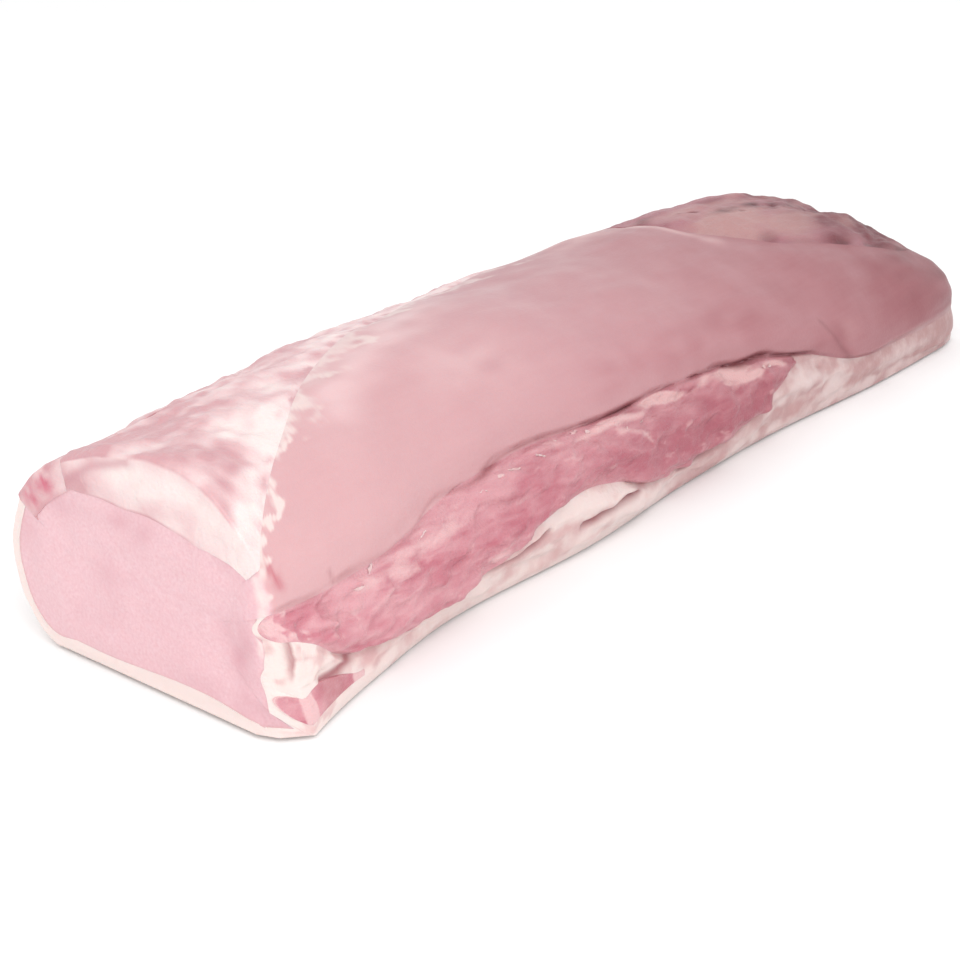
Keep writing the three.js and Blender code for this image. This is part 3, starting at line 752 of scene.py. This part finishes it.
fat_x = span(0, LENGTH, 1)
column_x = fat_x[:, None]
stretches = [(lambda x: shoulder_low(x) - 5, tuck, 30, None), (tuck, heel, 16, None),
             (heel, corner_low, 5, None), (corner_low, corner_high, 12, corner_thick),
             (corner_high, lip, 22, None), (lip, crease, 22, chain_thick)]
fat_s = [rows(fat_x, low, high, count) for low, high, count, _ in stretches]
ends = {corner_thick: CORNER_END, chain_thick: CHAIN_END}
fat_depth = [np.where(column_x <= ends[pocket] + 1e-3, pocket(column_x, s), 0) if pocket
             else 0 * s for s, (_, _, _, pocket) in zip(fat_s, stretches)]
fat_s = np.concatenate(fat_s, 1)
whole = np.where(fat_s < 0, fat_s + 5, fat_s)
fat_sheet = solid("fat_sheet", fat_x, fat_s, np.concatenate(fat_depth, 1),
                  fat_thick(column_x, whole), fat_detail, fat_paint, cap=9)
fat_sheet.data.materials.append(back_fat())
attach(fat_sheet, "root")
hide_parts("fat_cap")


# ---- the cover fat ---------------------------------------------------
# A wedge of soft fat over the eye at the near end, ragged where the knife left it, with
# shreds of lean in it. It is thick and cream-white at the cut and runs out along the back.
COVER = [(0.0, "ead9d6"), (0.5, "e0c0c1"), (1.0, "cb9a9f")]


def cover_detail(x, s, p):
    a = arc(x, s)
    inside = step(a - arc(x, top_edge(x)), 0, 5) * step(arc(x, shoulder(x)) - a, -2, 3)
    return inside * np.clip(1.25 - x / 300, 0.3, 1) * (
        0.5 * cloud(p, 20, 42) + 0.25 * cloud(p, 7, 43) + 0.3) * step(x, 0, 3)


def cover_paint(x, a, s, end, p):
    y, z = p[:, 1], p[:, 2]
    d = a - arc(x, top_edge(x))
    ridge = bump((d - 5 + 3 * cloud(p, 16, 44)) / 9)
    lean = 0.54 - (0.5 - 0.14 * step(x, 20, 45)) * ridge + 0.16 * cloud(
        p, 22, 45, 1.3) + 0.1 * cloud(p, 8, 46)
    lean = lean + 0.25 * step(d, 22, 60) + 0.15 * step(x, 50, 140) + 0.2 * spots(
        x, a, (24, 128, 9, 7), (60, 138, 16, 8)) - 0.35 * spots(x, a, (40, 123, 12, 8))
    deep = 0.45 * spots(x, a, (17, 104, 4, 7), (8, 94, 3, 5), (26, 113, 3, 4))
    lean = lean + 0.45 * bump((d - 1) / 3) * step(cloud(p, 9, 64), 0, 1)
    white = spots(y, z, (24, 72, 20, 16), (62, 80, 34, 6))
    on_face = 0.45 - 0.5 * white + 0.12 * cloud(p, 18, 47) + 0.2 * step(y, 70, 100)
    line = 0.6 * streak(y, z, 1.8, (70, 86), (88, 80), (106, 68))
    return {"lean": np.where(end < 0, on_face, lean), "deep": np.where(end < 0, line, deep)}


def cover_fat(name, stain):
    """Soft cover fat: cream-white with shreds and stains of pink lean, waxy and lumpy."""
    made, tree, at, masks = material(name, "lean", "deep")
    patch = node(tree, "TexNoise", {"Vector": at, "Scale": 130.0, "Detail": 5.0, "Distortion": 0.5})
    grain = node(tree, "TexNoise", {"Vector": at, "Scale": 600.0, "Detail": 3.0})
    pink = node(tree, "Math", {0: patch, 1: 0.5, 2: masks["lean"]}, operation="MULTIPLY_ADD")
    pink = node(tree, "MapRange", {0: pink, 1: 0.25, 2: 1.15, 3: 0.0, 4: 1.0})
    fat = node(tree, "ValToRGB", {0: pink}, stops=COVER)
    fat = node(tree, "Mix", {0: masks["deep"], 6: fat, 7: rgb(stain)}, 2, data_type="RGBA")
    height = node(tree, "Math", {0: patch, 1: 1.5, 2: grain}, operation="MULTIPLY_ADD")
    rough = node(tree, "MapRange", {0: patch, 1: 0.3, 2: 0.7, 3: 0.4, 4: 0.55})
    wet(tree, fat, height, rough, depth=0.0008, soft=0.15)
    return made


layer("cover_fat", 0, COVER_END, top_edge, shoulder, 80, top_thick,
      cover_fat("pork cover fat with shreds of lean, trimmed", "c08890"), cover_detail, cover_paint,
      "top_fat", cap=16)


# ---- the shoulder strip ----------------------------------------------
# Beside the cover fat on the shoulder lies a thin strip of another muscle, deep red where
# it is cut at the near end and veiled with pink tissue along its length.
def strip_detail(x, s, p):
    a = arc(x, s)
    inside = step(a - arc(x, shoulder(x)), -2, 3) * step(arc(x, shoulder_low(x)) - a, 0, 4)
    return inside * step(x, 0, 3) * (0.45 * cloud(p, 16, 48, 1.6) + 0.2 * cloud(p, 6, 49))


def strip_paint(x, a, s, end, p):
    y, z = p[:, 1], p[:, 2]
    lean = 0.7 + 0.2 * cloud(p, 14, 50, 2) + 0.12 * cloud(p, 6, 51)
    cut = spots(y, z, (114, 67, 5, 5), (122, 60, 4, 5)) * np.clip(
        0.85 + 0.5 * cloud(p, 7, 52) + 0.3 * cloud(p, 3, 58), 0.1, 1.1)
    deep = np.where(end < 0, cut, 0.8 * cut * step(-x, -14, -1)
                    + 0.15 * step(cloud(p, 16, 53, 2), 0.4, 1.4))
    return {"lean": np.where(end < 0, 0.45 + 0.2 * step(y, 106, 114), lean), "deep": deep}


layer("shoulder_strip", 0, COVER_END, shoulder, shoulder_low, 34, top_thick,
      cover_fat("raw lean strip under a pink film, knife-cut end", "c66c7e"), strip_detail,
      strip_paint, "flank_muscle", cap=5)


# ---- the far flap ----------------------------------------------------
# The end of a thin cap muscle, lying slantwise over the far end: tan half-dried sinew in
# front, dark torn meat towards the tip, with splits along its grain.
SPLITS = ((1.0, (388, 146), (400, 142)), (1.2, (406, 137), (420, 127)),
          (1.4, (436, 130), (450, 120)), (1.4, (456, 119), (466, 114)),
          (1.8, (476, 114), (486, 102)), (2.2, (486, 94), (494, 86), (504, 80)))


def flap_splits(x, a, p):
    """The splits of the flap, deeper and shallower along their way."""
    return np.max([streak(x, a, *line) for line in SPLITS], 0) * np.clip(
        0.75 + 0.45 * cloud(p, 7, 59, 3) + 0.3 * cloud(p, 3.5, 60, 2), 0, 1.2)


def flap_detail(x, s, p):
    a = arc(x, s)
    inside = step(a - arc(x, top_edge(x)), 0, 4) * step(arc(x, shoulder_low(x)) - a, 0, 4)
    inside = inside * step(x, FLAP_START, FLAP_START + 12) * step(LENGTH - x, 0, 8)
    torn = step(x, 440, 490)
    return inside * ((0.4 + 0.5 * torn) * cloud(p, 16, 51, 2.5) + (0.2 + 0.3 * torn) * cloud(
        p, 6, 52, 2) + 0.2 - 1.1 * flap_splits(x, a, p))


def flap_paint(x, a, s, end, p):
    tan = spots(x, a, (400, 122, 36, 24), (436, 108, 30, 12)) + 0.2 * cloud(p, 12, 54, 3)
    edge = bump((a - arc(x, top_edge(x)) - 1) / 3) * (0.25 * step(x, 385, 420) + 0.5 * step(
        x, 432, 444) * step(cloud(p, 9, 61, 2), -0.6, 0.8))
    edge = np.maximum(edge, np.clip(0.75 + 0.4 * cloud(p, 8, 62, 2), 0, 1) * spots(
        x, a, (414, 133, 10, 4), (436, 131, 8, 5), (449, 123, 11, 6), (464, 118, 9, 6),
        (480, 110, 12, 9), (495, 92, 14, 12)))
    edge = np.maximum(edge, 0.35 * spots(x, a, (404, 104, 8, 3), (472, 100, 40, 30)))
    red = np.maximum(step(x, 430, 480) * 0.85, 0.8 * spots(x, a, (446, 86, 10, 7)))
    light = 0.6 * spots(x, a, (390, 142, 20, 8), (436, 138, 16, 4))
    return {"tan": np.maximum(tan, light) * (end == 0), "dark": np.maximum(
        flap_splits(x, a, p), edge), "red": red + 0.35 * cloud(p, 12, 55, 2)}


def sinew():
    """Sinewy end of a cap muscle: tan tissue in drawn-out strands over dull red meat."""
    made, tree, at, masks = material("sinewy raw lean, half dry", "tan", "dark", "red")
    drawn = node(tree, "Mapping", {"Vector": at, "Scale": (0.22, 1, 1)})
    strand = node(tree, "TexNoise", {"Vector": drawn, "Scale": 260.0, "Detail": 5.0,
                                     "Distortion": 0.3})
    grain = node(tree, "TexNoise", {"Vector": at, "Scale": 900.0, "Detail": 2.0})
    tan = node(tree, "Math", {0: strand, 1: 0.9, 2: masks["tan"]}, operation="MULTIPLY_ADD")
    tan = node(tree, "MapRange", {0: tan, 1: 0.55, 2: 1.3, 3: 0.0, 4: 1.0})
    meat = rgb("a56e76")
    for share, over in ((masks["red"], "77363f"), (tan, "b18584"), (masks["dark"], "5f3237")):
        meat = node(tree, "Mix", {0: share, 6: meat, 7: rgb(over)}, 2, data_type="RGBA")
    height = node(tree, "Math", {0: strand, 1: 1.5, 2: grain}, operation="MULTIPLY_ADD")
    rough = node(tree, "MapRange", {0: strand, 1: 0.3, 2: 0.7, 3: 0.42, 4: 0.6})
    wet(tree, meat, height, rough, depth=0.0009, coat=0.08)
    return made


layer("far_flap", FLAP_START, LENGTH, top_edge, shoulder_low, 108, top_thick, sinew(),
      flap_detail, flap_paint, "end_flap")


# ---- the corner muscle -----------------------------------------------
# A small muscle in the fat of the near bottom corner, cut through at the near end, where
# it shows as an oval of dark lean. Its side lies open under the lip and thins out soon.
def corner_paint(x, a, s, end, p):
    oval = spots(p[:, 1], p[:, 2], (6, 11, 7, 7))
    # dark: painted shade on the side under the lip of fat
    return {"deep": 0.3 + 0.15 * step(x, 4, 14) + 0.2 * cloud(p, 7, 56),
            "pale": np.where(x < 5, 0.9 - 0.75 * np.minimum(1.5 * oval, 1) * (end < 0),
                             0.12 + 0.88 * step(x + 4 * cloud(p, 7, 57), 28, 42)),
            "dark": 0.45 * (end == 0) * step(x, 5, 14) * step(-x, -36, -22)}


layer("corner_oval", 0, CORNER_END, corner_low, corner_high, 22, corner_thick, chain_red, None,
      corner_paint, "corner_muscle", cap=6)


# ---- flecks of fat ---------------------------------------------------
# Shreds of fat and film left by the trimming knife along the crease. They are 2 to 8 mm long,
# flat and soft, lie along the loin and stick by their own wetness.
FLECK_LENGTH = 0.0045           # metres, before each is drawn out or shortened
FLECKS = 7000.0                 # per square metre
BEDS = ((30, 205, -4.5, 0.5), (205, 345, -5.5, -2.5))   # from x to x, and arc from the crease


def fleck_beds():
    """The strips of surface that the flecks lie on, as one mesh."""
    points, quads = [], []
    for x0, x1, low, high in BEDS:
        x = np.linspace(x0, x1, 121)[:, None]
        s = crease(x) + np.linspace(low, high, 6)[None, :] / FRONT_ARC
        ids = sum(len(p) for p in points) + np.arange(s.size).reshape(s.shape)
        points.append(tissue(x, s, 0, chain_detail).reshape(-1, 3))
        quads.append(np.stack([ids[:-1, :-1], ids[1:, :-1], ids[1:, 1:], ids[:-1, 1:]], -1))
    return quad_mesh("fleck beds", np.concatenate(points), quads)


def fleck_tree():
    """Scatters flattened, dented lumps over a surface."""
    tree = bpy.data.node_groups.new("flecks of fat", "GeometryNodeTree")
    for name, kind in (("Surface", "Geometry"), ("Flecks per square metre", "Float"),
                       ("Fleck length", "Float"), ("Seed", "Int"), ("Fat", "Material")):
        tree.interface.new_socket(name, in_out="INPUT", socket_type="NodeSocket" + kind)
    tree.interface.new_socket("Flecks", in_out="OUTPUT", socket_type="NodeSocketGeometry")
    given = tree.nodes.new("NodeGroupInput").outputs
    lie = node(tree, "GeometryNodeDistributePointsOnFaces", {
        "Mesh": given["Surface"], "Density": given["Flecks per square metre"],
        "Seed": given["Seed"]})
    lump = node(tree, "GeometryNodeMeshIcoSphere", {"Radius": 0.5, "Subdivisions": 3})
    size = node(tree, "FunctionNodeRandomValue", {0: (0.4, 0.16, 0.06), 1: (1.7, 0.4, 0.13),
                                                  "Seed": given["Seed"]}, data_type="FLOAT_VECTOR")
    size = node(tree, "VectorMath", {0: size, "Scale": given["Fleck length"]}, operation="SCALE")
    flecks = node(tree, "GeometryNodeInstanceOnPoints", {
        "Points": lie, "Instance": lump, "Rotation": lie.node.outputs["Rotation"], "Scale": size})
    turn = node(tree, "FunctionNodeRandomValue", {0: (0, 0, -0.5), 1: (0, 0, 0.5), "Seed": 5},
                data_type="FLOAT_VECTOR")
    flecks = node(tree, "GeometryNodeRotateInstances", {"Instances": flecks, "Rotation": turn})
    flecks = node(tree, "GeometryNodeRealizeInstances", {"Geometry": flecks})
    dents = node(tree, "TexNoise", {"Scale": 700.0, "Detail": 2.0}, out="Color")
    dents = node(tree, "VectorMath", {0: dents, 1: (0.5, 0.5, 0.5)}, operation="SUBTRACT")
    dents = node(tree, "VectorMath", {0: dents, "Scale": 0.002}, operation="SCALE")
    flecks = node(tree, "GeometryNodeSetPosition", {"Geometry": flecks, "Offset": dents})
    flecks = node(tree, "GeometryNodeSetShadeSmooth", {"Geometry": flecks})
    flecks = node(tree, "GeometryNodeSetMaterial", {"Geometry": flecks, "Material": given["Fat"]})
    tree.links.new(flecks, tree.nodes.new("NodeGroupOutput").inputs["Flecks"])
    return tree


def crumb_fat():
    """Wet shreds of fat and film, paler or pinker from shred to shred."""
    made, tree, at, _ = material("shreds of pork fat left by the knife")
    where = along_loin(tree, at)
    patch = node(tree, "TexNoise", {"Vector": at, "Scale": 140.0, "Detail": 1.0})
    pink = node(tree, "MapRange", {0: patch, 1: 0.35, 2: 0.65, 3: 0.0, 4: 0.6})
    film, fat = (node(tree, "ValToRGB", {0: where}, stops=stops)
                 for stops in (CHAIN_PALE, FAT_SURFACE))
    fat = node(tree, "Mix", {0: pink, 6: film, 7: fat}, 2, data_type="RGBA")
    wet(tree, fat, patch, 0.4, soft=0.15)
    return made


bed = put("fleck beds", fleck_beds())
scatter = bed.modifiers.new("flecks", "NODES")
scatter.node_group = fleck_tree()
values = {"Flecks per square metre": FLECKS, "Fleck length": FLECK_LENGTH, "Seed": 4,
          "Fat": crumb_fat()}
for socket in scatter.node_group.interface.items_tree:
    if socket.name in values:
        scatter[socket.identifier] = values[socket.name]
flecks = put("fat_flecks", bpy.data.meshes.new_from_object(
    bed.evaluated_get(bpy.context.evaluated_depsgraph_get())))
bpy.data.objects.remove(bed)
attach(flecks, "root")


# ---- table, light and camera -----------------------------------------
# A white table in soft daylight from the near left, bright enough to lose its edges.
table = bpy.data.meshes.new("table")
SIDE = 8.0                      # metres from the middle of the table to its edges
table.from_pydata([(-SIDE, -SIDE, 0), (SIDE, -SIDE, 0), (SIDE, SIDE, 0), (-SIDE, SIDE, 0)],
                  [], [(0, 1, 2, 3)])
floor = put("table", table)
white, tree, _, _ = material("white laminate, matt")
laminate = node(tree, "BsdfPrincipled", {"Base Color": rgb("f8f8f8"), "Roughness": 0.9,
                                         "Specular IOR Level": 0.1})
tree.links.new(laminate, tree.nodes.new("ShaderNodeOutputMaterial").inputs["Surface"])
table.materials.append(white)

world = bpy.data.worlds.new("soft room light")
bpy.context.scene.world = world
world.use_nodes = True
sky = world.node_tree.nodes["Background"].inputs
sky["Color"].default_value, sky["Strength"].default_value = (1, 1, 1, 1), 1.0
window = bpy.data.lights.new("window", "AREA")
window.size, window.energy = 1.4, 14    # metres and watts
lamp = put("window", window)
lamp.location = (-0.9, -1.0, 1.3)
lamp.rotation_mode = "QUATERNION"
lamp.rotation_quaternion = (-Vector(lamp.location)).to_track_quat("-Z", "Y")

# the camera of the photo: where it looks in drawing units, and from where
LOOK = (215.5, 89.3)
AZIMUTH, ELEVATION, DISTANCE = math.radians(-52), math.radians(23.7), 0.7329
TARGET = Vector([(UNIT * v - middle) / 1000 for v, middle in zip(LOOK, MIDDLE)] + [0])
back = Vector((math.sin(AZIMUTH) * math.cos(ELEVATION), -math.cos(AZIMUTH) * math.cos(ELEVATION),
               math.sin(ELEVATION)))
camera = put("camera", bpy.data.cameras.new("camera"))
camera.data.lens, camera.data.sensor_width = 67.5, 36
camera.data.clip_start, camera.data.clip_end = 0.01, 50
camera.location = TARGET + back * DISTANCE
camera.rotation_mode = "QUATERNION"
camera.rotation_quaternion = (-back).to_track_quat("-Z", "Y")
bpy.context.scene.camera = camera
bpy.context.scene.view_settings.view_transform = "Standard"
